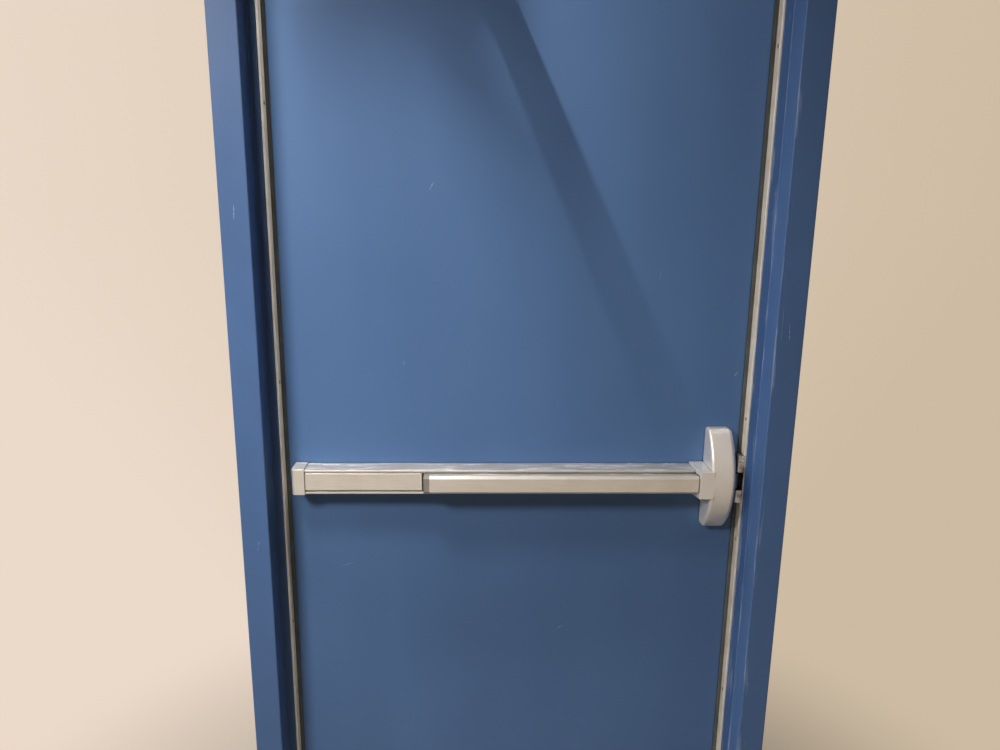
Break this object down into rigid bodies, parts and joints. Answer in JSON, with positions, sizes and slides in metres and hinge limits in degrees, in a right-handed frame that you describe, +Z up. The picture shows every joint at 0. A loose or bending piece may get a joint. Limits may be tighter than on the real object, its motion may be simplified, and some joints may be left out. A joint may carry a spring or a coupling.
{
  "type": "hollow metal door with frame",
  "caption": "Flush hollow metal door in a double-rabbet steel frame, with butt hinges, perimeter seal, rim exit device with push pad, rim strike and parallel-arm closer.",
  "frame": {"origin": "floor line, middle of the opening's width and of the frame's depth, where the frame stands in the wall", "axes": "+Z up, +X to the latch side seen from the push side, +Y to the side that the door swings to"},
  "size_m": [1.016, 0.2055, 2.1844],
  "materials": {
    "frame_paint": "satin paint, slightly glossy",
    "door_paint": "satin paint with fine orange peel",
    "bare_steel": "galvanised",
    "hinge_steel": "satin",
    "seal_aluminium": "mill finish, weathered",
    "seal_rubber": "matte",
    "bar_aluminium": "satin aluminium paint",
    "head_casting": "satin aluminium paint",
    "end_plastic": "matte",
    "strike_steel": "worn",
    "closer_paint": "satin aluminium paint"
  },
  "bodies": {
    "frame": {"hinge_jamb": "frame_paint", "strike_jamb": "frame_paint", "frame_head": "frame_paint", "floor_anchor_left": "bare_steel", "floor_anchor_right": "bare_steel", "wall_anchors": "bare_steel", "hinge_reinforcements": "bare_steel", "frame_leaf_bottom": "hinge_steel", "frame_leaf_middle": "hinge_steel", "frame_leaf_top": "hinge_steel", "hinge_pins": "hinge_steel", "seal_left": "seal_aluminium", "seal_right_lower": "seal_aluminium", "seal_right_upper": "seal_aluminium", "seal_head": "seal_aluminium", "seal_inserts": "seal_rubber", "silencers": "seal_rubber", "strike_reinforcement": "bare_steel", "strike": "strike_steel", "shoe_spacer": "closer_paint", "shoe_reinforcement": "bare_steel", "closer_shoe": "closer_paint"},
    "door": {"door_push_sheet": "door_paint", "door_pull_sheet": "door_paint", "door_top_channel": "bare_steel", "door_bottom_channel": "bare_steel", "door_stiffeners": "bare_steel", "door_hinge_reinforcements": "bare_steel", "door_leaf_bottom": "hinge_steel", "door_leaf_middle": "hinge_steel", "door_leaf_top": "hinge_steel", "device_rail": "bar_aluminium", "device_filler": "bar_aluminium", "device_end_cap": "bar_aluminium", "device_end_bracket": "bare_steel", "pad_brackets": "bare_steel", "device_chassis": "bare_steel", "device_head": "head_casting", "closer_body": "closer_paint", "closer_cover": "closer_paint"},
    "pad": {"touchpad": "bar_aluminium", "touchpad_end": "end_plastic", "pad_lugs": "bare_steel"},
    "latch": {"latch_bolt": "strike_steel", "latch_link": "bare_steel"},
    "main_arm": {"closer_main_arm": "closer_paint"},
    "forearm": {"closer_forearm": "closer_paint"}
  },
  "joints": [
    {"name": "door_hinge", "type": "hinge", "parent": "frame", "child": "door", "pos_m": [-0.4556, 0.06988, 0], "axis": [0, 0, 1], "range_deg": [0, 105], "stiffness_Nm_per_rad": 8, "springref_deg": -68.75},
    {"name": "pad_slide", "type": "slide", "parent": "door", "child": "pad", "axis": [0, 1, 0], "range_m": [0, 0.012], "stiffness_N_per_m": 2500, "springref_m": -0.008},
    {"name": "latch_slide", "type": "slide", "parent": "door", "child": "latch", "axis": [-1, 0, 0], "range_m": [0, 0.016]},
    {"name": "main_arm_hinge", "type": "hinge", "parent": "door", "child": "main_arm", "pos_m": [-0.06, -0.02927, 0], "axis": [0, 0, 1], "range_deg": [-105, 0]},
    {"name": "forearm_hinge", "type": "hinge", "parent": "main_arm", "child": "forearm", "pos_m": [0.1056, -0.11645, 0], "axis": [0, 0, 1], "range_deg": [0, 105]}
  ],
  "couplings": [
    {"joint": "latch_slide", "follows": "pad_slide", "ratio": 1.3333},
    {"joint": "main_arm_hinge", "follows": "door_hinge", "ratio": -1},
    {"joint": "forearm_hinge", "follows": "door_hinge", "ratio": 1}
  ]
}
